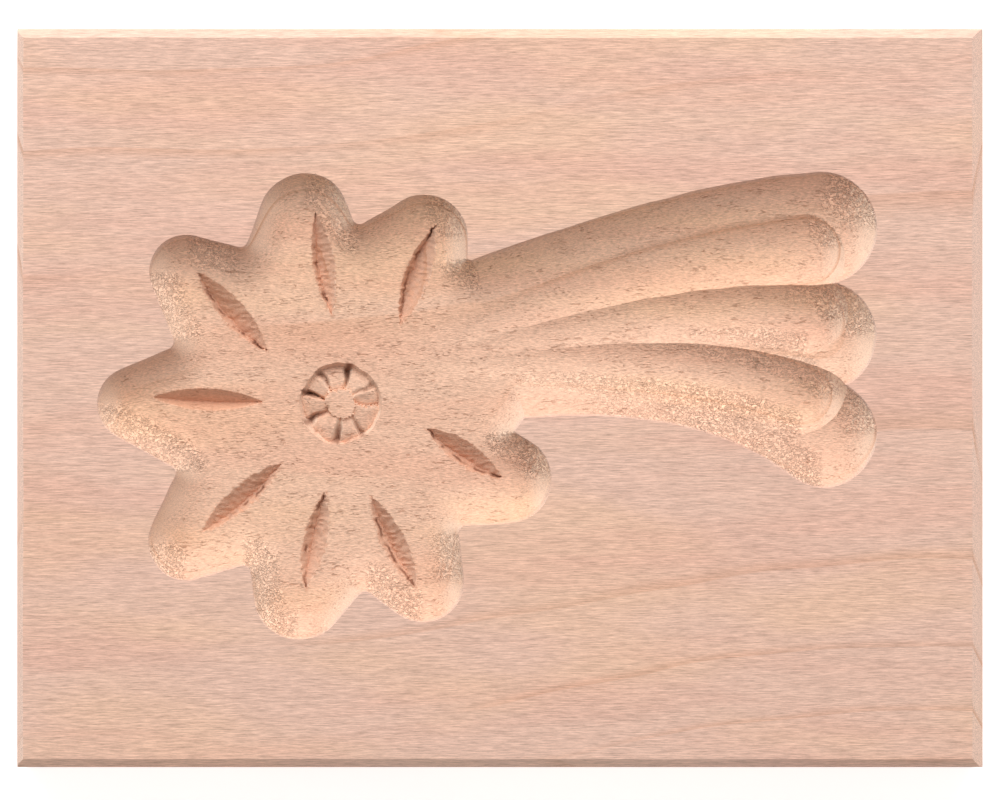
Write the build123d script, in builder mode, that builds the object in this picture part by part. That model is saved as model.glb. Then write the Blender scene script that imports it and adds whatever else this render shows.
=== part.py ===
"""A carved wooden pastry mould: one board with a comet hollowed into its face.

The frame is the board's own: origin at the centre of the underside, +X along the grain
and the long side, +Y across the grain, +Z up out of the carved face. Millimetres.
"""

import os
from math import atan2, cos, radians, sin

from build123d import *

# ---- the board -------------------------------------------------------------------------
BOARD_LENGTH = 130.0
BOARD_WIDTH = 99.4
BOARD_THICKNESS = 18.0
FACE_BEVEL = 1.2  # broken edge round the carved face
BACK_BEVEL = 0.8  # broken edge round the underside

# ---- the head of the comet: an eight-petalled star ----------------------------------------
STAR_X, STAR_Y = -21.5, -0.8
STAR_DEPTH = 3.8
STAR_COVE = 3.6  # round foot of the star's wall, left by the round-nosed cutter
NOSE_RADIUS = 1.0  # the points of wood between two petals are rounded over

# one row a petal: direction (degrees), how far out its round tip is centred, tip radius
PETALS = [
    (63.0, 25.0, 5.9),
    (101.0, 25.3, 6.2),
    (139.4, 27.3, 5.0),
    (180.0, 27.7, 5.0),
    (222.0, 27.8, 5.2),
    (257.8, 26.1, 6.2),
    (295.0, 26.3, 5.6),
    (335.7, 24.7, 5.9),
]
# one row a nose of wood between petals: direction (degrees), distance from the star's centre
NOSES = [
    (84.8, 23.8),
    (121.5, 24.5),
    (160.6, 23.5),
    (202.2, 23.5),
    (240.4, 24.8),
    (277.4, 25.1),
    (314.3, 22.9),
    (350.9, 23.7),
    (48.8, 25.9),
]

# ---- the leaf cuts: one V cut in each petal -----------------------------------------------
LEAF_WIDTH = 3.1
LEAF_DEPTH = 1.9
LEAF_REACH = 4.0  # how far the cutter runs above and below the star's floor
# one row a cut: direction and distance of its outer tip, then of its inner tip
LEAVES = [
    (62.2, 27.3, 52.9, 13.2),
    (97.4, 26.2, 95.8, 11.8),
    (137.3, 26.5, 144.7, 11.9),
    (177.9, 25.6, 178.5, 10.3),
    (222.7, 25.6, 225.0, 11.1),
    (259.0, 25.5, 260.3, 12.0),
    (292.5, 27.0, 288.0, 13.1),
    (335.3, 24.1, 344.2, 11.9),
]

# ---- the rosette at the star's centre -----------------------------------------------------
ROSETTE_RADIUS = 5.4
ROSETTE_DEPTH = 1.4  # below the star's floor
BOSS_RADIUS = 2.0
BOSS_DROP = 0.3  # the boss stands this far below the star's floor
BEADS = 8
BEAD_RADIUS = 1.7
BEAD_RING = 3.5
BEAD_DROP = 0.4  # the beads' tops stand this far below the star's floor
BEAD_START = 56.0  # direction of the first bead, degrees

# ---- the tail: six flutes from a round-nosed cutter, in three pairs -------------------------
FLUTE_START_DEPTH = 3.9
# radius of the cutter and its depth at the far end, for the two kinds of flute
WIDE = (9.2, 3.8)
NARROW = (6.0, 5.7)
# one row a flute: start, middle and end of the cutter's path in plan, and its kind
FLUTES = [
    ((-8.0, 9.0), (20.1, 18.5), (43.1, 22.8), WIDE),
    ((-8.0, 7.0), (16.0, 15.8), (41.2, 20.2), NARROW),
    ((-8.0, 5.5), (18.1, 10.2), (41.7, 10.4), NARROW),
    ((16.0, 8.6), (30.0, 9.3), (43.1, 8.3), WIDE),
    ((-8.0, 4.5), (17.3, 4.7), (40.8, -0.2), NARROW),
    ((16.0, 5.0), (31.0, 2.2), (43.5, -4.9), WIDE),
]

FACE = BOARD_THICKNESS
STAR_FLOOR = FACE - STAR_DEPTH
CLEAR = 2.0  # how far a cutter stands out of the wood


def from_star(direction, distance):
    """A point in plan, given by its direction and distance from the star's centre."""
    turn = radians(direction)
    return (STAR_X + distance * cos(turn), STAR_Y + distance * sin(turn))


def star_outline():
    """The star's outline: each petal is the hull of its round tip and its two noses."""
    with BuildSketch(Plane.XY.offset(FACE)) as outline:
        noses = [from_star(*nose) for nose in NOSES]
        with BuildLine():
            Polyline(*noses, close=True)
        make_face()
        for row, (direction, reach, radius) in enumerate(PETALS):
            tip = from_star(direction, reach)
            with BuildLine() as petal:
                CenterArc(tip, radius, 0, 360)
                Line(noses[row - 1], noses[row])
            make_hull(petal.edges())
        corners = [
            outline.vertices().sort_by_distance((*nose, FACE))[0] for nose in noses
        ]
        fillet(corners, NOSE_RADIUS)
    return outline.sketch


def leaf_cutter(outer_direction, outer_distance, inner_direction, inner_distance):
    """Two crossed round bars that meet in a leaf-shaped V, the mark of a veining tool."""
    outer = Vector(*from_star(outer_direction, outer_distance), STAR_FLOOR)
    inner = Vector(*from_star(inner_direction, inner_distance), STAR_FLOOR)
    along = (outer - inner).normalized()
    sideways = along.rotate(Axis.Z, 90)
    flank = atan2(LEAF_WIDTH / 2, LEAF_DEPTH)
    bulge = LEAF_WIDTH / 2 * cos(flank)
    half_length = (outer - inner).length / 2
    radius = (half_length**2 + bulge**2) / (2 * bulge)
    with BuildPart() as cutter:
        for side, mode in ((1, Mode.ADD), (-1, Mode.INTERSECT)):
            lean = Vector(0, 0, cos(flank)) + sideways * (side * sin(flank))
            with BuildSketch(Plane((outer + inner) / 2, x_dir=along, z_dir=lean)):
                with Locations((0, side * (bulge - radius))):
                    Circle(radius)
            extrude(amount=LEAF_REACH, both=True, mode=mode)
    return cutter.part


def flute_cutter(start, middle, end, kind):
    """A round bar bent along the cutter's path, with a ball at each end."""
    radius, end_depth = kind
    start_height = FACE - FLUTE_START_DEPTH + radius
    end_height = FACE - end_depth + radius
    middle_height = (start_height + end_height) / 2
    with BuildPart() as cutter:
        with BuildLine() as path:
            ThreePointArc(
                (*start, start_height), (*middle, middle_height), (*end, end_height)
            )
        line = path.line
        with BuildSketch(Plane(origin=line @ 0, z_dir=line % 0)):
            Circle(radius)
        sweep(path=line)
        with Locations(line @ 0, line @ 1):
            Sphere(radius)
    return cutter.part


def rosette_beads():
    """The rosette's ring of raised beads and its boss, standing in its dish."""
    dish_floor = STAR_FLOOR - ROSETTE_DEPTH
    with BuildPart() as beads:
        with BuildSketch(Plane.XY.offset(dish_floor - CLEAR)):
            with Locations((STAR_X, STAR_Y)):
                Circle(BOSS_RADIUS)
        extrude(amount=CLEAR + ROSETTE_DEPTH - BOSS_DROP)
        bead_height = STAR_FLOOR - BEAD_DROP - BEAD_RADIUS
        with Locations((STAR_X, STAR_Y, bead_height)):
            with PolarLocations(BEAD_RING, BEADS, start_angle=BEAD_START):
                Sphere(BEAD_RADIUS)
    return beads.part


star = star_outline()
leaf_cutters = [leaf_cutter(*leaf) for leaf in LEAVES]
flute_cutters = [flute_cutter(*flute) for flute in FLUTES]
beads = rosette_beads()

with BuildPart() as mould_block:
    with BuildSketch():
        Rectangle(BOARD_LENGTH, BOARD_WIDTH)
    extrude(amount=BOARD_THICKNESS)
    chamfer(faces().sort_by(Axis.Z)[-1].edges(), FACE_BEVEL)
    chamfer(faces().sort_by(Axis.Z)[0].edges(), BACK_BEVEL)

    # the star is sunk to a flat floor and its foot is rounded
    extrude(star, amount=-STAR_DEPTH, mode=Mode.SUBTRACT)
    floor_edges = faces().filter_by(Plane.XY).group_by(Axis.Z)[1].edges()
    fillet(floor_edges, STAR_COVE)

    for flute in flute_cutters:
        add(flute, mode=Mode.SUBTRACT)
    for leaf in leaf_cutters:
        add(leaf, mode=Mode.SUBTRACT)

    with BuildSketch(Plane.XY.offset(STAR_FLOOR)):
        with Locations((STAR_X, STAR_Y)):
            Circle(ROSETTE_RADIUS)
    extrude(amount=-ROSETTE_DEPTH, mode=Mode.SUBTRACT)
    add(beads)

mould_block.part.label = "mould_block"

os.makedirs("parts", exist_ok=True)
export_step(mould_block.part, "parts/mould_block.step")
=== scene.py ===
"""A carved wooden pastry mould with a comet motif: a Blender add-on that is run as a script.

The block is one piece of milled hardwood. Its face is carved with a star hollow, a tail of
six round-nosed cuts, eight leaf-shaped veining cuts and a small rosette. The surface is worked
out as a depth below the face, and is meshed with points on every edge of the carving.
"""

from functools import partial
from math import acos, atan2, cos, pi, radians, sin, tan

import bpy
import numpy as np
from bpy.props import FloatProperty, FloatVectorProperty, PointerProperty
from mathutils.geometry import delaunay_2d_cdt
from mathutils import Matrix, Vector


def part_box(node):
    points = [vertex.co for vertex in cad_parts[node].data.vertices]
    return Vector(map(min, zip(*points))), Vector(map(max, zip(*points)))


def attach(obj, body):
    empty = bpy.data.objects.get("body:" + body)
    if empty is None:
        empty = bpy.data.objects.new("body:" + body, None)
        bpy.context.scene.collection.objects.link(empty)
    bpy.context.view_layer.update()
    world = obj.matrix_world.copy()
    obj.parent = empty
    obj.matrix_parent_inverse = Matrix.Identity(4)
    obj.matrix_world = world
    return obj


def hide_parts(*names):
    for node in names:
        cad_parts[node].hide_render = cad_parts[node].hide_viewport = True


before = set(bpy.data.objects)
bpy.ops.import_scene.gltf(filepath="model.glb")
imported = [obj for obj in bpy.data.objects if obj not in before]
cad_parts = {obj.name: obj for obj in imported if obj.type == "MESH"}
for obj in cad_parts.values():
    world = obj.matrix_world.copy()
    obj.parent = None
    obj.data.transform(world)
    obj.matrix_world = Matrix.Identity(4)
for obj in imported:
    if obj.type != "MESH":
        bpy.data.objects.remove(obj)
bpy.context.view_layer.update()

bl_info = {
    "name": "Carved pastry mould",
    "version": (1, 0, 0),
    "blender": (4, 5, 0),
    "location": "View3D > Sidebar > Mould",
    "description": "Builds a milled hardwood mould with a comet hollow, and a plain stage for it",
    "category": "Object",
}

MM = 0.001
NODE = "mould_block"
LOW, HIGH = ([value / MM for value in corner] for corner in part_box(NODE))
HALF_LENGTH = (HIGH[0] - LOW[0]) / 2
HALF_WIDTH = (HIGH[1] - LOW[1]) / 2
FACE = HIGH[2]

# ---- the star: its centre, then its petals and the noses of land between them ---------------
STAR = (-21.5, -0.8)
# one row a petal: direction in degrees and distance of its round tip's centre, tip radius
PETALS = [
    (63.0, 25.0, 5.9),
    (101.0, 25.3, 6.2),
    (139.4, 27.3, 5.0),
    (180.0, 27.7, 5.0),
    (222.0, 27.8, 5.2),
    (257.8, 26.1, 6.2),
    (295.0, 26.3, 5.6),
    (335.7, 24.7, 5.9),
]
# nose i lies between petals i - 1 and i: direction and distance
NOSES = [
    (48.8, 25.9),
    (84.8, 23.8),
    (121.5, 24.5),
    (160.6, 23.5),
    (202.2, 23.5),
    (240.4, 24.8),
    (277.4, 25.1),
    (314.3, 22.9),
    (350.9, 23.7),
]
# the hollow's open side, where the tail leaves it
THROAT = [(3.4, -2.5), (6.5, 3.0), (6.5, 12.0), (2.0, 17.0)]

# ---- the tail: three strands, each a wide cut with a deeper, narrower one inside it ----------
# one row a cut: control points of its path, its depth at the far end, its cutter's radius
CUTS = [
    ((-8.0, 9.0), (12.0, 16.5), (30.0, 22.2), (43.1, 22.8), 4.0, 9.2),
    ((-8.0, 7.0), (7.0, 14.0), (24.5, 19.0), (41.2, 20.2), 5.9, 6.0),
    ((-8.0, 6.0), (12.0, 9.0), (30.0, 10.5), (43.1, 8.3), 3.9, 9.2),
    ((-8.0, 5.5), (8.5, 9.0), (28.5, 13.0), (41.7, 10.4), 5.6, 6.0),
    ((-8.0, 3.5), (14.0, 7.0), (32.0, 4.5), (43.5, -4.9), 3.4, 9.2),
    ((-8.0, 4.5), (7.5, 5.5), (27.7, 5.4), (40.8, -0.2), 5.5, 6.0),
]

# ---- the veining cuts ------------------------------------------------------------------------
# one row a cut: direction and distance of its outer end, the same of its inner end, its
# greatest width, where its bottom lies (-1 to 1 across it) and how ragged its edges are
LEAVES = [
    (62.2, 27.3, 52.9, 13.2, 3.4, 0.5, 1.0),
    (97.4, 26.2, 95.8, 11.8, 3.0, 0.5, 1.0),
    (137.3, 26.5, 144.7, 11.9, 3.4, 0.5, 1.0),
    (177.9, 25.6, 178.5, 10.3, 3.0, 0.2, 0.1),
    (222.7, 25.6, 225.0, 11.1, 3.2, 0.35, 1.0),
    (259.0, 25.5, 260.3, 12.0, 3.2, -0.25, 1.0),
    (292.5, 27.0, 288.0, 13.1, 3.3, -0.25, 1.0),
    (335.3, 24.1, 344.2, 11.9, 3.2, -0.35, 1.0),
]

# ---- the rosette -----------------------------------------------------------------------------
ROSETTE_RADIUS = 5.5
BOSS_RADIUS = 2.0
# its eight petals, counterclockwise: the direction of the notch where each one starts, how
# deep that notch is (a deeper notch also gets more painted shade), how far its crown lies below the
# floor, and how it leans
ROSETTE_PETALS = [
    (-155.0, 0.9, 0.35, -0.3),
    (-95.0, 1.0, 0.3, 0.15),
    (-53.0, 0.6, 0.3, -0.25),
    (-3.0, 0.15, 0.45, -0.4),
    (33.0, 0.5, 0.4, 0.2),
    (79.0, 1.2, 0.8, -0.1),
    (125.0, 0.7, 0.5, 0.25),
    (165.0, 1.2, 0.35, 0.35),
]

# ---- the block's bevels: width on each side, broken by hand --------------------------------
BEVELS = {"left": 0.87, "right": 1.48, "far": 1.25, "near": 1.14}
BACK_BEVEL = 0.8
BEVEL_SLOPE = 0.95

# ---- depths and marks ------------------------------------------------------------------------
# the depth that stands for no cut at all, and the least depth that counts as carved
NO_CUT = -1.0
SLIVER = 0.05
# every place has the mark of the tool that made it: 0 is the face, then come the bevels, the
# star and the tail's cuts, and from these numbers on the leaves' flanks and the rosette's parts
FIRST_CARVED = 1 + len(BEVELS)
LEAF_MARKS = 100
ROSETTE_MARKS = 200
# the rosette's own parts: 0 is its boss, then come its petals, and this is its rim
ROSETTE_WALL = 20


def srgb(code):
    """The three values of a hex colour, each from 0 to 1."""
    return tuple(int(code[k:k + 2], 16) / 255 for k in (1, 3, 5))


class MouldSizes(bpy.types.PropertyGroup):
    """Sizes of the carving, in millimetres."""

    star_depth: FloatProperty(
        name="Star depth", description="Depth of the star's flat floor, in millimetres",
        default=3.8, min=2.0, max=8.0,
    )
    cove_radius: FloatProperty(
        name="Cove radius", description="Radius of the star's rounded wall, in millimetres",
        default=6.4, min=2.0, max=8.0,
    )
    leaf_steepness: FloatProperty(
        name="Leaf steepness", description="Mean slope of the veining cuts' flanks",
        default=1.25, min=0.3, max=3.0,
    )
    torn_height: FloatProperty(
        name="Torn fibre", description="Height of the torn fibre on cross-grain walls, in mm",
        default=0.10, min=0.0, max=0.3,
    )
    finest: FloatProperty(
        name="Finest facet", description="Spacing of the mesh in the finest carving, in mm",
        default=0.14, min=0.08, max=1.0,
    )


class MouldWood(bpy.types.PropertyGroup):
    """Colours of the bare wood."""

    heart: FloatVectorProperty(
        name="Face", description="Colour of the wood where it is cut along the grain",
        subtype="COLOR_GAMMA", size=3, default=srgb("#DFB9A6"), min=0.0, max=1.0,
    )
    warm: FloatVectorProperty(
        name="Warm streak", description="Colour of the yellower streaks",
        subtype="COLOR_GAMMA", size=3, default=srgb("#E3BBA2"), min=0.0, max=1.0,
    )
    end_grain: FloatVectorProperty(
        name="End grain", description="Colour of the wood where it is cut across the grain",
        subtype="COLOR_GAMMA", size=3, default=srgb("#EBCFBF"), min=0.0, max=1.0,
    )
    fresh: FloatVectorProperty(
        name="Fresh cut", description="Tint of the carved wood against the planed face",
        subtype="COLOR_GAMMA", size=3, default=srgb("#FFFBF1"), min=0.0, max=1.0,
    )
    vessel: FloatVectorProperty(
        name="Vessel", description="Colour of the fine dark dashes in the grain",
        subtype="COLOR_GAMMA", size=3, default=srgb("#C28F75"), min=0.0, max=1.0,
    )


# ---- shapes in plan ----------------------------------------------------------------------------
def from_star(direction, distance):
    """A point in plan, given by its direction and distance from the star's centre."""
    turn = radians(direction)
    return np.array((STAR[0] + distance * cos(turn), STAR[1] + distance * sin(turn)))


def arc(centre, radius, start, end, step=radians(9.0)):
    """Points along an arc, from one angle to another."""
    count = max(2, int(abs(end - start) / step) + 1)
    turns = np.linspace(start, end, count)
    return [centre + radius * np.array((cos(turn), sin(turn))) for turn in turns]


def rounded_nose(before, corner, after, radius=1.0):
    """Points that round a nose of land, where the outline turns to the right."""
    arriving = (corner - before) / np.linalg.norm(corner - before)
    leaving = (after - corner) / np.linalg.norm(after - corner)
    turn = acos(np.clip(arriving @ leaving, -1, 1))
    start = corner - arriving * radius * tan(turn / 2)
    centre = start + radius * np.array((arriving[1], -arriving[0]))
    first = atan2(*(start - centre)[::-1])
    return arc(centre, radius, first, first - turn)


def star_outline():
    """The star hollow's outline, counterclockwise, with round petals and rounded noses."""
    noses = [from_star(*nose) for nose in NOSES]
    tips = []
    for row, (direction, reach, radius) in enumerate(PETALS):
        centre = from_star(direction, reach)
        ends = []
        for nose, side in ((noses[row], 1), (noses[row + 1], -1)):
            away = nose - centre
            lean = acos(radius / np.linalg.norm(away))
            ends.append(atan2(away[1], away[0]) + side * lean)
        if ends[1] < ends[0]:
            ends[1] += 2 * pi
        tips.append(arc(centre, radius, *ends))
    outline = [noses[0]]
    for row, tip in enumerate(tips):
        outline += tip
        if row < len(tips) - 1:
            outline += rounded_nose(tip[-1], noses[row + 1], tips[row + 1][0])
    outline += [noses[-1]] + [np.array(point) for point in THROAT]
    return np.array(outline)


def distance_inside(points, outline):
    """How far each point lies inside a closed outline; outside it, the distance is negative."""
    nearest = np.full(len(points), np.inf)
    inside = np.zeros(len(points), bool)
    x, y = points.T.copy()
    for start, end in zip(outline, np.roll(outline, -1, axis=0)):
        dx, dy = end - start
        from_x, from_y = x - start[0], y - start[1]
        share = ((from_x * dx + from_y * dy) / (dx * dx + dy * dy)).clip(0, 1)
        gap = (from_x - share * dx) ** 2 + (from_y - share * dy) ** 2
        nearest = np.minimum(nearest, gap)
        if dy != 0:
            crosses = (start[1] > y) != (end[1] > y)
            inside ^= crosses & (from_x < from_y / dy * dx)
    return np.sqrt(nearest) * np.where(inside, 1, -1)


def within(points, low, high):
    """Which points lie in an upright box."""
    return ((points > low) & (points < high)).all(1)


def noise(x, y, across, seed, along=None):
    """Smooth random values from -1 to 1, one bump to each cell of the given size."""
    side = 256
    # keeps the cells' numbers above zero
    shift = 300.5
    table = np.random.default_rng(seed).uniform(-1, 1, (side, side))
    u = x / (along or across) + shift
    v = y / across + shift
    i, j = np.floor(u).astype(int), np.floor(v).astype(int)
    u, v = u - i, v - j
    u, v = u * u * (3 - 2 * u), v * v * (3 - 2 * v)
    i0, i1, j0, j1 = i % side, (i + 1) % side, j % side, (j + 1) % side
    low = table[i0, j0] * (1 - u) + table[i1, j0] * u
    high = table[i0, j1] * (1 - u) + table[i1, j1] * u
    return low * (1 - v) + high * v


def ramp(value, start, end):
    """Rises smoothly from 0 at start to 1 at end."""
    share = ((value - start) / (end - start)).clip(0, 1)
    return share * share * (3 - 2 * share)


# ---- the carving, as depths below the face -------------------------------------------------
class Carving:
    """The depth of every tool mark below the face, at any set of points in plan."""

    def __init__(self, sizes):
        self.sizes = sizes
        self.outline = star_outline()
        share = np.linspace(0, 1, 81)[:, None]
        self.paths = []
        for a, b, c, d, far_depth, radius in CUTS:
            a, b, c, d = (np.array(point) for point in (a, b, c, d))
            rest = 1 - share
            path = rest**3 * a + 3 * rest**2 * share * b + 3 * rest * share**2 * c + share**3 * d
            near_depth = self.sizes.star_depth + 0.1
            depths = near_depth + (far_depth - near_depth) * share[:, 0]
            self.paths.append((path, depths, radius))

    def star(self, points):
        """A flat floor with a round cove all along its wall."""
        radius = self.sizes.cove_radius
        near = within(points, self.outline.min(0), self.outline.max(0))
        # the face cuts the cove off before it stands upright, which this keeps on the outline
        cut_off = radius - np.sqrt(radius**2 - (radius - self.sizes.star_depth) ** 2)
        inside = distance_inside(points[near], self.outline) + cut_off
        rise = radius - np.sqrt(np.maximum(radius**2 - (radius - inside.clip(0, radius)) ** 2, 0))
        depth = np.full(len(points), NO_CUT)
        depth[near] = np.where(inside > cut_off, self.sizes.star_depth - rise, NO_CUT)
        return depth

    def tail_cut(self, points, path, depths, radius):
        """The groove that a round-nosed cutter leaves along its path."""
        near = within(points, path.min(0) - radius, path.max(0) + radius)
        x, y = points[near].T.copy()
        deepest = np.full(len(x), NO_CUT)
        for place, depth in zip(path, depths):
            rest = radius**2 - (x - place[0]) ** 2 - (y - place[1]) ** 2
            ball = depth - radius + np.sqrt(np.maximum(rest, 0))
            deepest = np.maximum(deepest, np.where(rest > 0, ball, NO_CUT))
        groove = np.full(len(points), NO_CUT)
        groove[near] = deepest
        return groove

    def leaf(self, points, row):
        """Depth of one V-shaped veining cut below the floor, and which flank each point is on."""
        outer_direction, outer, inner_direction, inner, width, bottom, ragged = LEAVES[row]
        tip = from_star(outer_direction, outer)
        heel = from_star(inner_direction, inner)
        length = np.linalg.norm(tip - heel)
        along = (tip - heel) / length
        offset = points - (tip + heel) / 2
        place = offset @ along / (length / 2)
        across = offset @ np.array((-along[1], along[0]))
        x, y = points.T
        # the blade chatters, so the edges waver by up to 0.16 mm
        across = across + ragged * 0.16 * noise(x, y, 0.3, 40 + row, along=0.7)
        half = width / 2 * (1 - place**2)
        steep = self.sizes.leaf_steepness
        left = steep / (1 - bottom) * (half - across)
        right = steep / (1 + bottom) * (half + across)
        cut = np.where(half > 0, np.minimum(left, right), NO_CUT)
        # a crack runs along the steep flank, just inside its edge, with gaps in it
        gaps = ramp(noise(x, y, 1.1, 60 + row), -0.35, 0.25)
        from_edge = half - across * np.sign(bottom)
        crack = ragged * gaps * ramp(-np.abs(from_edge - 0.28 * half - 0.1), -0.24, -0.02)
        return cut, left < right, crack * (cut > SLIVER)

    def rosette(self, points):
        """Depth of the rosette below the floor, the part each point is on, and the painted shade in
        its notches.
        """
        x, y = (points - np.array(STAR)).T
        # it was cut by hand, so its circles stray by 0.22 mm and its notches by 5 degrees
        radius = np.hypot(x, y) + 0.22 * noise(x, y, 1.1, 71)
        turn = np.degrees(np.arctan2(y, x)) + 5 * noise(x, y, 1.3, 72)
        out = (radius - BOSS_RADIUS) / (ROSETTE_RADIUS - BOSS_RADIUS)
        boss_drop = 0.1
        depth = np.full(len(points), boss_drop)
        part = np.zeros(len(points), int)
        notch_shade = np.zeros(len(points))
        following = ROSETTE_PETALS[1:] + ROSETTE_PETALS[:1]
        for number, (petal, after) in enumerate(zip(ROSETTE_PETALS, following)):
            start, start_notch, crown, lean = petal
            span = (after[0] - start) % 360
            lag = (turn - start) % 360
            here = (lag < span) & (radius > BOSS_RADIUS)
            side = 2 * lag / span - 1
            notch = np.where(side < 0, start_notch, after[1])
            slit = notch * ramp(np.abs(side), 0.6, 1.0)
            bowed = crown + lean * side + 1.5 * (out - 0.3) ** 2
            pillow = bowed + (0.5 + 1.0 * out) * slit
            depth = np.where(here, pillow.clip(boss_drop, None), depth)
            part = np.where(here, 1 + number, part)
            # the deeper a notch, the darker it is painted near its edges: painted shade in the
            # grooves between the petals
            dark_tone = 0.8 * notch * ramp(np.abs(side), 0.62, 0.95) * ramp(out, 0.0, 0.6)
            notch_shade = np.where(here, dark_tone.clip(0, 1), notch_shade)
        wall_steepness = 2.2
        wall = wall_steepness * (ROSETTE_RADIUS - radius)
        return np.minimum(depth, wall), np.where(wall < depth, ROSETTE_WALL, part), notch_shade

    def bevels(self, points):
        """Depth of the four bevels, which a plane broke off the face's edges."""
        x, y = points.T
        gaps = {
            "left": HALF_LENGTH + x, "right": HALF_LENGTH - x,
            "far": HALF_WIDTH - y, "near": HALF_WIDTH + y,
        }
        drops = []
        for number, (side, width) in enumerate(BEVELS.items()):
            run = x if side in ("far", "near") else y
            width = width + 0.07 * noise(run, 0 * run, 9.0, 80 + number)
            drops.append(BEVEL_SLOPE * (width - gaps[side]))
        return drops

    def hollow(self, points):
        """Depths of the star and of each tail cut, with the slight waver of a guided cutter."""
        x, y = points.T
        waver = [0.09 * noise(x, y, 3.5, seed) for seed in (11, 12)]
        cut_at = points + np.array(waver).T
        return np.array([self.star(cut_at), *(self.tail_cut(cut_at, *path) for path in self.paths)])

    def depth(self, points):
        """The whole surface: depth, the mark that made it, and how dark its cracks and the painted
        shade in the rosette's notches are.
        """
        face = np.zeros(len(points))
        layers = np.array([face, *self.bevels(points), *self.hollow(points)])
        mark = layers.argmax(0)
        depth = layers.max(0)
        carved = mark >= FIRST_CARVED
        cracks_and_notch_shade = np.zeros(len(points))
        # half the side of the squares that hold any leaf, and the rosette
        leaf_reach = 9.0
        rosette_reach = ROSETTE_RADIUS + 0.5
        for row, (outer_direction, outer, inner_direction, inner, *_) in enumerate(LEAVES):
            middle = (from_star(outer_direction, outer) + from_star(inner_direction, inner)) / 2
            near = np.flatnonzero(carved & within(points, middle - leaf_reach, middle + leaf_reach))
            cut, flank, crack = self.leaf(points[near], row)
            here = near[cut > 0]
            depth[here] += (cut + 0.35 * crack)[cut > 0]
            mark[here] = LEAF_MARKS + 2 * row + flank[cut > 0]
            cracks_and_notch_shade[here] = crack[cut > 0]
        centre = np.array(STAR)
        near = np.flatnonzero(within(points, centre - rosette_reach, centre + rosette_reach))
        dish, part, notch_shade = self.rosette(points[near])
        here = near[dish > 0]
        depth[here] += dish[dish > 0]
        mark[here] = ROSETTE_MARKS + part[dish > 0]
        # the rosette's painted notch shade goes into the same layer as the leaves' cracks
        cracks_and_notch_shade[here] = notch_shade[dish > 0]
        return depth, mark, cracks_and_notch_shade

    def torn(self, points):
        """How torn the fibre is, and how much a steep wall lengthens it when seen in plan.

        It tears most on carved walls that the cutter met against the grain.
        """
        step = 0.25
        shifts = [np.array(shift) for shift in ((step, 0), (-step, 0), (0, step), (0, -step))]
        right, left, up, down = (self.hollow(points + shift).max(0) for shift in shifts)
        slope = np.array((left - right, down - up)) / (2 * step)
        steep = np.hypot(*slope)
        outward = 2 * slope[0] * slope[1] / np.maximum(steep**2, 1e-6)
        carved = self.hollow(points).max(0) > SLIVER
        bevel_reach = 2
        inside = np.abs(points) < (HALF_LENGTH - bevel_reach, HALF_WIDTH - bevel_reach)
        patches = 0.5 + 0.5 * noise(*points.T, 2.5, 21)
        wall = ramp(steep, 0.15, 0.45) * ramp(outward, -0.25, 0.4) * (0.5 + 0.5 * patches)
        lift = np.sqrt(1 + steep.clip(0, 2.5) ** 2)
        return wall * carved * inside.all(1), lift


# ---- meshing -----------------------------------------------------------------------------------
def grid(spacing, stagger=False):
    """Points over the whole face in rows, every second row shifted when staggered."""
    columns = int(2 * HALF_LENGTH / spacing)
    rows = int(2 * HALF_WIDTH / spacing)
    x = np.linspace(-HALF_LENGTH, HALF_LENGTH, columns + 1)[1:-1]
    y = np.linspace(-HALF_WIDTH, HALF_WIDTH, rows + 1)[1:-1]
    x, y = np.meshgrid(x, y, indexing="ij")
    if stagger:
        x = x + np.where(np.arange(x.shape[1]) % 2, spacing / 4, -spacing / 4)
    return x, y


def edge_points(carving, spacing=0.2):
    """Points where one tool mark meets another, found between neighbours on a fine grid."""
    x, y = grid(spacing)
    points = np.stack((x, y), -1)
    _, mark, _ = carving.depth(points.reshape(-1, 2))
    mark = mark.reshape(x.shape)
    found = []
    for axis in (0, 1):
        ahead = np.roll(mark, -1, axis) != mark
        ahead = ahead[:-1] if axis == 0 else ahead[:, :-1]
        here = (points[:-1] if axis == 0 else points[:, :-1])[ahead]
        there = (points[1:] if axis == 0 else points[:, 1:])[ahead]
        here_mark = (mark[:-1] if axis == 0 else mark[:, :-1])[ahead]
        halvings = 7
        for _ in range(halvings):
            middle = (here + there) / 2
            same = (carving.depth(middle)[1] == here_mark)[:, None]
            here = np.where(same, middle, here)
            there = np.where(same, there, middle)
        found.append((here + there) / 2)
    return thin_out(np.concatenate(found), 0.6 * spacing)


# the cells reach this far from the block's middle, so that they hold all its points with room
CELLS_CORNER = np.array((HALF_LENGTH, HALF_WIDTH)) + 5


def cells(points, size):
    """The whole-number cell of each point, on a grid of the given cell size."""
    return np.floor((points + CELLS_CORNER) / size).astype(int)


def thin_out(points, size):
    """Keeps one point in each cell."""
    _, keep = np.unique(cells(points, size), axis=0, return_index=True)
    return points[keep]


def away_from(points, others, size):
    """Which points have none of the others in their own cell or a neighbouring one."""
    shape = cells(CELLS_CORNER, size) + 2
    taken = np.zeros(shape, bool)
    i, j = cells(others, size).T
    for di in (-1, 0, 1):
        for dj in (-1, 0, 1):
            taken[i + di, j + dj] = True
    i, j = cells(points, size).T
    return ~taken[i, j]


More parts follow.
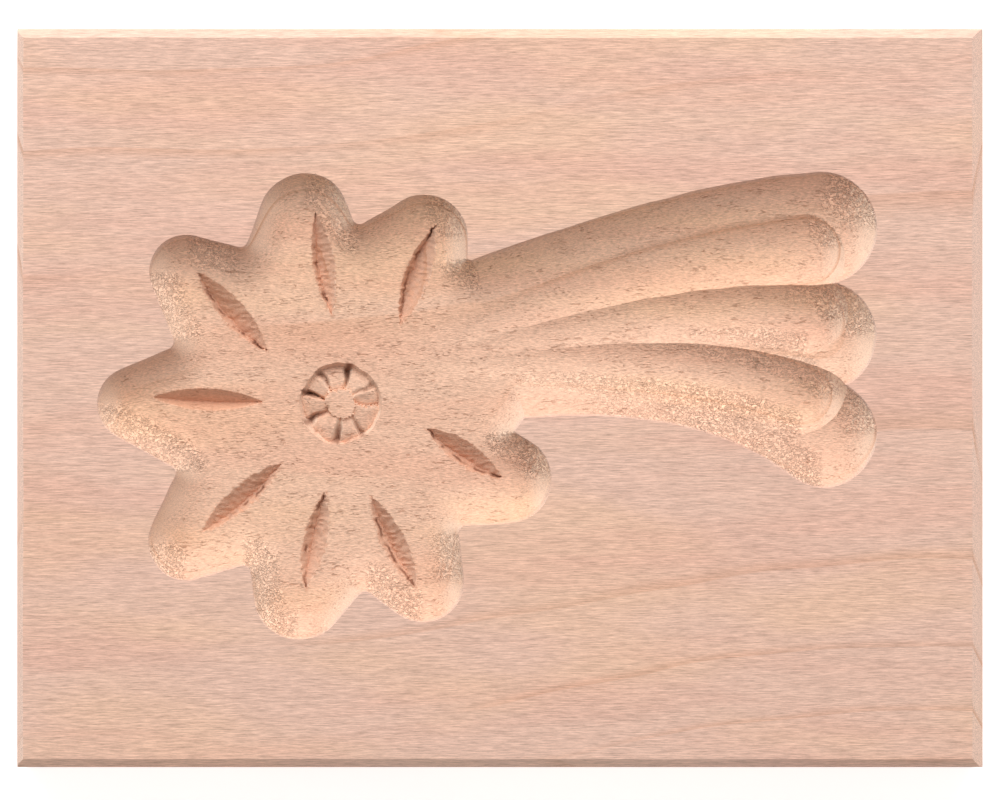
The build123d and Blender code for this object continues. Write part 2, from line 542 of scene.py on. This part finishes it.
def wanted_spacing(carving, finest):
    """The mesh spacing that each place needs, as a function of points in plan."""
    step = 0.4
    x, y = grid(step)
    points = np.stack((x, y), -1).reshape(-1, 2)
    depth, mark, _ = carving.depth(points)
    torn, _ = carving.torn(points)
    smooth_hollow, flat_face, torn_wall = 3.2 * finest, 30 * finest, 1.15 * finest
    spacing = np.where(depth > SLIVER, smooth_hollow, flat_face)
    spacing = np.where(torn > 0.15, torn_wall, spacing)
    spacing = np.where(mark >= LEAF_MARKS, finest, spacing)
    spacing = spacing.reshape(x.shape)
    # a neighbour's spacing plus part of the way to it, so that sizes grow gently
    growth = 0.35
    for _ in range(12):
        for axis in (0, 1):
            for way in (-1, 1):
                spacing = np.minimum(spacing, np.roll(spacing, way, axis) + growth * step)
    origin = np.array((x[0, 0], y[0, 0]))
    pitch = np.array((x[1, 0] - x[0, 0], y[0, 1] - y[0, 0]))

    def at(places):
        index = np.rint((places - origin) / pitch).astype(int)
        index = index.clip(0, np.array(x.shape) - 1)
        return spacing[index[:, 0], index[:, 1]]

    return at


def fill_points(spacing_at, edges, finest):
    """Points between the edges, as close together as each place needs."""
    chosen = []
    size = finest
    coarsest = 40 * finest
    growth = 1.6
    # a place that wants exactly one of the sizes isn't lost to rounding
    slack = 0.99
    while size < coarsest:
        x, y = grid(size, stagger=True)
        points = np.stack((x, y), -1).reshape(-1, 2)
        wanted = spacing_at(points)
        points = points[(wanted >= size * slack) & (wanted < growth * size * slack)]
        points = points[away_from(points, edges, 0.5 * size)]
        if chosen:
            points = points[away_from(points, np.concatenate(chosen), 0.45 * size)]
        chosen.append(points)
        size *= growth
    return np.concatenate(chosen)


def border_points(spacing=1.0):
    """Points round the block's outline in plan, in order and counterclockwise."""
    corners = [(-1, -1), (1, -1), (1, 1), (-1, 1)]
    ring = []
    for start, end in zip(corners, corners[1:] + corners[:1]):
        start = np.array(start) * (HALF_LENGTH, HALF_WIDTH)
        end = np.array(end) * (HALF_LENGTH, HALF_WIDTH)
        count = int(np.linalg.norm(end - start) / spacing)
        ring += [start + (end - start) * step / count for step in range(count)]
    return np.array(ring)


def block_mesh(sizes):
    """The whole block: carved face, bevels, sides and back, as one closed mesh."""
    carving = Carving(sizes)
    ring = border_points()
    edges = edge_points(carving)
    spacing_at = wanted_spacing(carving, sizes.finest)
    fill = fill_points(spacing_at, edges, sizes.finest)
    plan = np.concatenate((ring, edges, fill))
    found = delaunay_2d_cdt([tuple(point) for point in plan], [], [], 0, 1e-5)
    plan = np.array([tuple(point) for point in found[0]])
    faces = np.array(found[2])
    a, b, c = (plan[faces[:, corner]] for corner in range(3))
    turn = (b - a)[:, 0] * (c - a)[:, 1] - (b - a)[:, 1] * (c - a)[:, 0]
    faces = np.where((turn > 0)[:, None], faces, faces[:, ::-1])
    faces = faces[np.abs(turn) > 1e-9]

    depth, mark, cracks_and_notch_shade = carving.depth(plan)
    torn, lift = carving.torn(plan)
    x, y = plan.T
    ragged = 0.6 * noise(x, y, 0.36, 31) + 0.4 * noise(x, y, 0.22, 32)
    # no fibre stands above the planed face
    depth = np.maximum(depth + sizes.torn_height * torn * lift * ragged, 0.0)
    carved = ramp(depth, 0.02, 0.5) * (mark >= FIRST_CARVED)
    places = np.column_stack((plan, FACE - depth))

    order = ring_order(plan, ring)
    rings = [order]
    for inset, height in ((0.0, BACK_BEVEL), (BACK_BEVEL, 0.0)):
        shrink = 1 - inset / np.array((HALF_LENGTH, HALF_WIDTH))
        lower = np.column_stack((ring * shrink, np.full(len(ring), height)))
        rings.append(np.arange(len(ring)) + len(places))
        places = np.concatenate((places, lower))
    polygons = faces.tolist()
    for upper, lower in zip(rings, rings[1:]):
        for k in range(len(ring)):
            n = (k + 1) % len(ring)
            polygons.append([int(upper[k]), int(lower[k]), int(lower[n]), int(upper[n])])
    polygons.append([int(k) for k in rings[-1][::-1]])

    mesh = bpy.data.meshes.new("carved_block")
    mesh.from_pydata((places * MM).tolist(), [], polygons)
    # where the veining cuts are, which the material paints darker: painted shade in the V-cuts
    veined = ((mark >= LEAF_MARKS) & (mark < ROSETTE_MARKS)).astype(float)
    layers = (("carved", carved), ("torn", torn), ("cracks_and_notch_shade", cracks_and_notch_shade), ("veined", veined))
    for name, values in layers:
        layer = mesh.attributes.new(name, "FLOAT", "POINT")
        padded = np.zeros(len(places))
        padded[: len(values)] = values
        layer.data.foreach_set("value", padded)
    mesh.update()
    mesh.validate()
    mesh.shade_smooth()
    mesh.set_sharp_from_angle(angle=radians(32))
    return mesh


def ring_order(plan, ring):
    """The index in plan of each point of the ring."""
    on_border = np.flatnonzero(
        (np.abs(np.abs(plan[:, 0]) - HALF_LENGTH) < 1e-3)
        | (np.abs(np.abs(plan[:, 1]) - HALF_WIDTH) < 1e-3)
    )
    order = []
    for point in ring:
        gaps = ((plan[on_border] - point) ** 2).sum(1)
        order.append(on_border[gaps.argmin()])
    return np.array(order)


# ---- materials ---------------------------------------------------------------------------------
def linear(colour):
    """An sRGB colour, as a hex text or as three values, as linear RGBA."""
    colour = srgb(colour) if isinstance(colour, str) else colour
    values = [v / 12.92 if v <= 0.04045 else ((v + 0.055) / 1.055) ** 2.4 for v in colour]
    return (*values, 1.0)


def add_node(tree, kind, *inputs, named=(), give=0, **settings):
    """Adds one node, sets it up, fills or links its inputs, and gives one of its outputs."""
    node = tree.nodes.new("ShaderNode" + kind)
    for name, value in settings.items():
        setattr(node, name, value)
    for socket, value in [*enumerate(inputs), *dict(named).items()]:
        if isinstance(value, bpy.types.NodeSocket):
            tree.links.new(value, node.inputs[socket])
        else:
            node.inputs[socket].default_value = value
    return node.outputs[give] if node.outputs else None


# what varies in the wood, as noise drawn out along the grain. One row a pattern: its length
# along the grain and its width across it in mm, its detail, its roughness and its warp. Beech's
# vessels and fibres are under 0.1 mm wide, too fine to show, so they are drawn wider than that.
PATTERNS = {
    "stray": (60, 14, 2.0, 0.5, 0.0),  # how growth lines stray from a true ring
    "fade": (90, 16, 1.0, 0.5, 0.0),  # where growth lines show along their length
    "warmth": (45, 11, 2.0, 0.5, 0.0),  # broad yellower streaks
    "blush": (50, 7, 3.0, 0.55, 0.0),  # narrower pink streaks
    "streaks": (2.4, 0.11, 3.0, 0.8, 0.0),  # fibres on the planed face
    "strokes": (0.65, 0.15, 2.0, 0.65, 0.35),  # shorter, rougher fibres in the hollows
    "clumps": (0.38, 0.30, 1.0, 0.6, 1.3),  # crumbs of torn end fibre
    "dashes": (1.3, 0.15, 2.0, 0.55, 0.0),  # vessels, cut open along their length
    "cracks": (1.0, 0.2, 1.0, 0.5, 0.8),  # fibre pulled out along the grain
    "crack_patches": (4.0, 1.6, 2.0, 0.5, 0.0),  # where such cracks gather
}
# the settings of a smooth step between two values, and of the two ways of mixing colours
SMOOTH = {"interpolation_type": "SMOOTHSTEP"}
LAID_OVER = {"give": 2, "data_type": "RGBA", "blend_type": "MIX"}
TINTED = {"give": 2, "data_type": "RGBA", "blend_type": "MULTIPLY"}


def milled_wood(wood):
    """Bare milled beech: fine dashed grain, faint growth lines and paler end grain."""
    # unsealed wood scatters light broadly, so it looks dry and almost without gloss
    material = bpy.data.materials.new("milled_bare_beech")
    material.use_nodes = True
    material.node_tree.nodes.clear()
    add = partial(add_node, material.node_tree)

    place = add("TexCoord", give="Object")
    along, over, up = add("SeparateXYZ", place).node.outputs
    carved, torn, cracks_and_notch_shade, veined = (
        add("Attribute", give="Fac", attribute_name=name)
        for name in ("carved", "torn", "cracks_and_notch_shade", "veined")
    )
    pattern = {}
    for name, (length, width, detail, roughness, warp) in PATTERNS.items():
        scale = (1 / (length * MM), 1 / (width * MM), 1 / (width * MM))
        drawn_out = add("VectorMath", place, scale, operation="MULTIPLY")
        pattern[name] = add("TexNoise", drawn_out, give="Fac", named={
            "Scale": 1.0, "Detail": detail, "Roughness": roughness, "Distortion": warp,
        })

    # growth lines: rings about a far pith, cut almost flat, so they are wide and faint
    far_pith, line_spacing, pith_level = 190 * MM, 4.6 * MM, 1.0 * MM
    climb = add("MapRange", along, -35 * MM, 60 * MM, 0.0, 12 * MM, **SMOOTH)
    stray = add("Math", pattern["stray"], 5 * MM, -2.5 * MM, operation="MULTIPLY_ADD")
    height = add("Math", over, climb, operation="SUBTRACT")
    height = add("Math", height, stray, operation="SUBTRACT")
    ring = add("Math", height, height, operation="MULTIPLY")
    ring = add("Math", ring, far_pith, operation="DIVIDE")
    level = add("Math", up, pith_level, operation="SUBTRACT")
    ring = add("Math", ring, level, operation="ADD")
    ring = add("Math", ring, line_spacing, operation="DIVIDE")
    ring = add("Math", ring, operation="FRACT")
    darkening = add("MapRange", ring, 0.86, 0.985, **SMOOTH)
    ending = add("MapRange", ring, 0.985, 1.0, 1.0, 0.0, **SMOOTH)
    late = add("Math", darkening, ending, operation="MULTIPLY")
    fade = add("MapRange", pattern["fade"], 0.38, 0.6, **SMOOTH)
    late = add("Math", late, fade, operation="MULTIPLY")
    warmth = add("MapRange", pattern["warmth"], 0.42, 0.66, **SMOOTH)
    blush = add("MapRange", pattern["blush"], 0.4, 0.7, 0.0, 0.5, **SMOOTH)
    colour = add("Mix", warmth, named={6: linear(wood.heart), 7: linear(wood.warm)}, **LAID_OVER)
    colour = add("Mix", blush, named={6: colour, 7: linear("#DEAD99")}, **LAID_OVER)

    # wood cut across its grain looks paler, because the light sinks into the open fibre ends; walls
    # facing -X are also made paler than those facing +X, which is painted light from the -X side
    normal = add("NewGeometry", give="Normal")
    facing = add("SeparateXYZ", normal, give="X")
    across = add("Math", facing, operation="ABSOLUTE")
    across = add("MapRange", across, 0.3, 0.8, **SMOOTH)
    # walls facing -X get the full paleness and those facing +X less: painted light, as if lit from
    # the -X side
    lit_side_paleness = add("MapRange", facing, -0.8, 0.8, 1.0, 0.6, **SMOOTH)
    in_hollow = add("MapRange", carved, 0.0, 1.0, 0.65, 1.0, **SMOOTH)
    lit_side_paleness = add("Math", lit_side_paleness, in_hollow, operation="MULTIPLY")
    paleness = add("Math", across, lit_side_paleness, operation="MULTIPLY")
    colour = add("Mix", paleness, named={6: colour, 7: linear(wood.end_grain)}, **LAID_OVER)
    late_strength = add("Math", across, 0.3, 0.3, operation="MULTIPLY_ADD")
    late = add("Math", late, late_strength, operation="MULTIPLY")
    colour = add("Mix", late, named={6: colour, 7: linear("#C9906F")}, **LAID_OVER)

    # fibres: long fine streaks on the planed face, shorter and rougher ones in the hollows
    along_walls = add("MapRange", across, 0.0, 1.0, 1.0, 0.35, **SMOOTH)
    rough = add("Math", carved, along_walls, operation="MULTIPLY")
    fibre = add("Mix", rough, data_type="FLOAT",
                named={2: pattern["streaks"], 3: pattern["strokes"]})
    contrast = add("Math", rough, -0.5, 1.8, operation="MULTIPLY_ADD")
    shade = add("Math", fibre, 0.5, operation="SUBTRACT")
    shade = add("Math", shade, contrast, 1.0, operation="MULTIPLY_ADD")
    # the carved wood is painted a tenth lighter than the face: painted light that lifts the shade
    # in the hollows
    shade = add("Math", carved, 0.10, shade, operation="MULTIPLY_ADD")
    # torn end fibres stand up as pale crumbs with thin dark gaps between them
    clumps = add("MapRange", pattern["clumps"], 0.36, 0.58, **SMOOTH)
    crumbs = add("Math", clumps, 0.3, operation="SUBTRACT")
    crumbs = add("Math", crumbs, torn, operation="MULTIPLY")
    shade = add("Math", crumbs, 0.6, shade, operation="MULTIPLY_ADD")
    colour = add("VectorMath", colour, named={"Scale": shade}, operation="SCALE")
    # wood cut later than the planed face has had less time to turn grey
    colour = add("Mix", carved, named={6: colour, 7: linear(wood.fresh)}, **TINTED)
    dashes = add("MapRange", pattern["dashes"], 0.60, 0.70, **SMOOTH)
    dashes = add("Math", dashes, 0.26, operation="MULTIPLY")
    colour = add("Mix", dashes, named={6: colour, 7: linear(wood.vessel)}, **LAID_OVER)

    # torn fibre in the hollows: short dark cracks that follow the grain, in patches
    cracks = add("MapRange", pattern["cracks"], 0.60, 0.68, **SMOOTH)
    patches = add("MapRange", pattern["crack_patches"], 0.45, 0.60, **SMOOTH)
    tears = add("Math", cracks, patches, operation="MULTIPLY")
    tears = add("Math", tears, rough, operation="MULTIPLY")
    # how dark each mark is, and its colour: torn fibre, the veining cuts painted darker as painted
    # shade in the V-cuts, and the cracks along them together with the painted shade in the
    # rosette's notches
    for dark_mark, strength, dark_tone in (
        (tears, 0.5, "#A86A4C"), (veined, 0.45, "#C88B6C"), (cracks_and_notch_shade, 0.85, "#7A452F"),
    ):
        amount = add("Math", dark_mark, strength, operation="MULTIPLY")
        colour = add("Mix", amount, named={6: colour, 7: linear(dark_tone)}, **LAID_OVER)

    relief = add("Math", crumbs, 1.8, operation="MULTIPLY")
    fibre_relief = add("Math", rough, 0.9, 0.25, operation="MULTIPLY_ADD")
    relief = add("Math", fibre, fibre_relief, relief, operation="MULTIPLY_ADD")
    tear_relief = add("Math", tears, 0.7, operation="MULTIPLY")
    relief = add("Math", relief, tear_relief, operation="SUBTRACT")
    bump = add("Bump", named={"Height": relief, "Strength": 1.0, "Distance": 0.10 * MM})
    shader = add("BsdfPrincipled", named={
        "Base Color": colour, "Roughness": 0.72, "IOR": 1.45, "Specular IOR Level": 0.25,
        "Normal": bump,
    })
    add("OutputMaterial", shader, is_active_output=True)
    return material


def plain_floor():
    """Opal white acrylic, lit evenly from below, so that shadows on it stay pale."""
    material = bpy.data.materials.new("backlit_opal_acrylic")
    material.use_nodes = True
    shader = material.node_tree.nodes["Principled BSDF"]
    shader.inputs["Base Color"].default_value = linear("#FBFBFB")
    shader.inputs["Roughness"].default_value = 0.9
    shader.inputs["Specular IOR Level"].default_value = 0.1
    shader.inputs["Emission Color"].default_value = linear("#FFFFFF")
    shader.inputs["Emission Strength"].default_value = 0.6
    return material


def light_tent():
    """A white tent lit through its far wall: bright on that side, and dimmer all the way round."""
    world = bpy.data.worlds.new("light_tent")
    world.use_nodes = True
    tree = world.node_tree
    far_wall = (-0.02, 0.98, 0.2)
    dimmest, brightest = 0.30, 0.62
    direction = add_node(tree, "TexCoord", give="Generated")
    toward = add_node(tree, "VectorMath", direction, far_wall, give="Value",
                      operation="DOT_PRODUCT")
    glow = add_node(tree, "MapRange", toward, -1.0, 1.0, dimmest, brightest)
    tree.links.new(glow, tree.nodes["Background"].inputs["Strength"])
    tree.nodes["Background"].inputs["Color"].default_value = linear("#FFFFFF")
    return world


# ---- operators ---------------------------------------------------------------------------------
class MOULD_OT_carve_block(bpy.types.Operator):
    """Carve the block: the star, its tail, the leaves and the rosette"""

    bl_idname = "mould.carve_block"
    bl_label = "Carve block"

    def execute(self, context):
        block = bpy.data.objects.new("carved_block", block_mesh(context.scene.mould_sizes))
        context.scene.collection.objects.link(block)
        block.data.materials.append(milled_wood(context.scene.mould_wood))
        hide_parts(NODE)
        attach(block, "root")
        return {"FINISHED"}


class MOULD_OT_set_stage(bpy.types.Operator):
    """Set the plain floor, the soft lights and the camera straight above"""

    bl_idname = "mould.set_stage"
    bl_label = "Set stage"

    def execute(self, context):
        scene = context.scene
        # half the side of the floor, in metres
        reach = 1.5
        mesh = bpy.data.meshes.new("floor")
        corners = [(-reach, -reach, 0), (reach, -reach, 0), (reach, reach, 0), (-reach, reach, 0)]
        mesh.from_pydata(corners, [], [(0, 1, 2, 3)])
        floor = bpy.data.objects.new("floor", mesh)
        floor.data.materials.append(plain_floor())
        scene.collection.objects.link(floor)

        self.add_light(scene, "key_softbox", (-0.03, 0.69, 0.60), 0.9, 9.6)
        scene.world = light_tent()

        # a long lens far above the block, so that its sides don't show
        lens = bpy.data.cameras.new("camera")
        lens.lens = 300.0
        lens.sensor_width = 36.0
        view_width = 134.5 * MM
        off_centre = -0.27 * MM
        camera = bpy.data.objects.new("camera", lens)
        distance = view_width * lens.lens / lens.sensor_width
        camera.location = (0.0, off_centre, FACE * MM + distance)
        scene.collection.objects.link(camera)
        scene.camera = camera
        scene.view_settings.view_transform = "Standard"
        return {"FINISHED"}

    def add_light(self, scene, name, place, size, power):
        """A square softbox that faces the block."""
        light = bpy.data.lights.new(name, "AREA")
        light.size = size
        light.energy = power
        lamp = bpy.data.objects.new(name, light)
        lamp.location = place
        x, y, z = place
        lamp.rotation_euler = (atan2(np.hypot(x, y), z), 0.0, atan2(x, -y))
        scene.collection.objects.link(lamp)


class MOULD_PT_panel(bpy.types.Panel):
    """Lists the mould's sizes, colours and steps"""

    bl_idname = "MOULD_PT_panel"
    bl_label = "Carved mould"
    bl_space_type = "VIEW_3D"
    bl_region_type = "UI"
    bl_category = "Mould"

    def draw(self, context):
        for group in (context.scene.mould_sizes, context.scene.mould_wood):
            for name in group.__annotations__:
                self.layout.prop(group, name)
        for step in STEPS:
            self.layout.operator(step.bl_idname)


STEPS = (MOULD_OT_carve_block, MOULD_OT_set_stage)
CLASSES = (MouldSizes, MouldWood, *STEPS, MOULD_PT_panel)


def register():
    for each in CLASSES:
        bpy.utils.register_class(each)
    bpy.types.Scene.mould_sizes = PointerProperty(type=MouldSizes)
    bpy.types.Scene.mould_wood = PointerProperty(type=MouldWood)


def unregister():
    del bpy.types.Scene.mould_wood
    del bpy.types.Scene.mould_sizes
    for each in reversed(CLASSES):
        bpy.utils.unregister_class(each)


def main():
    register()
    bpy.ops.mould.carve_block()
    bpy.ops.mould.set_stage()


if __name__ == "__main__":
    main()
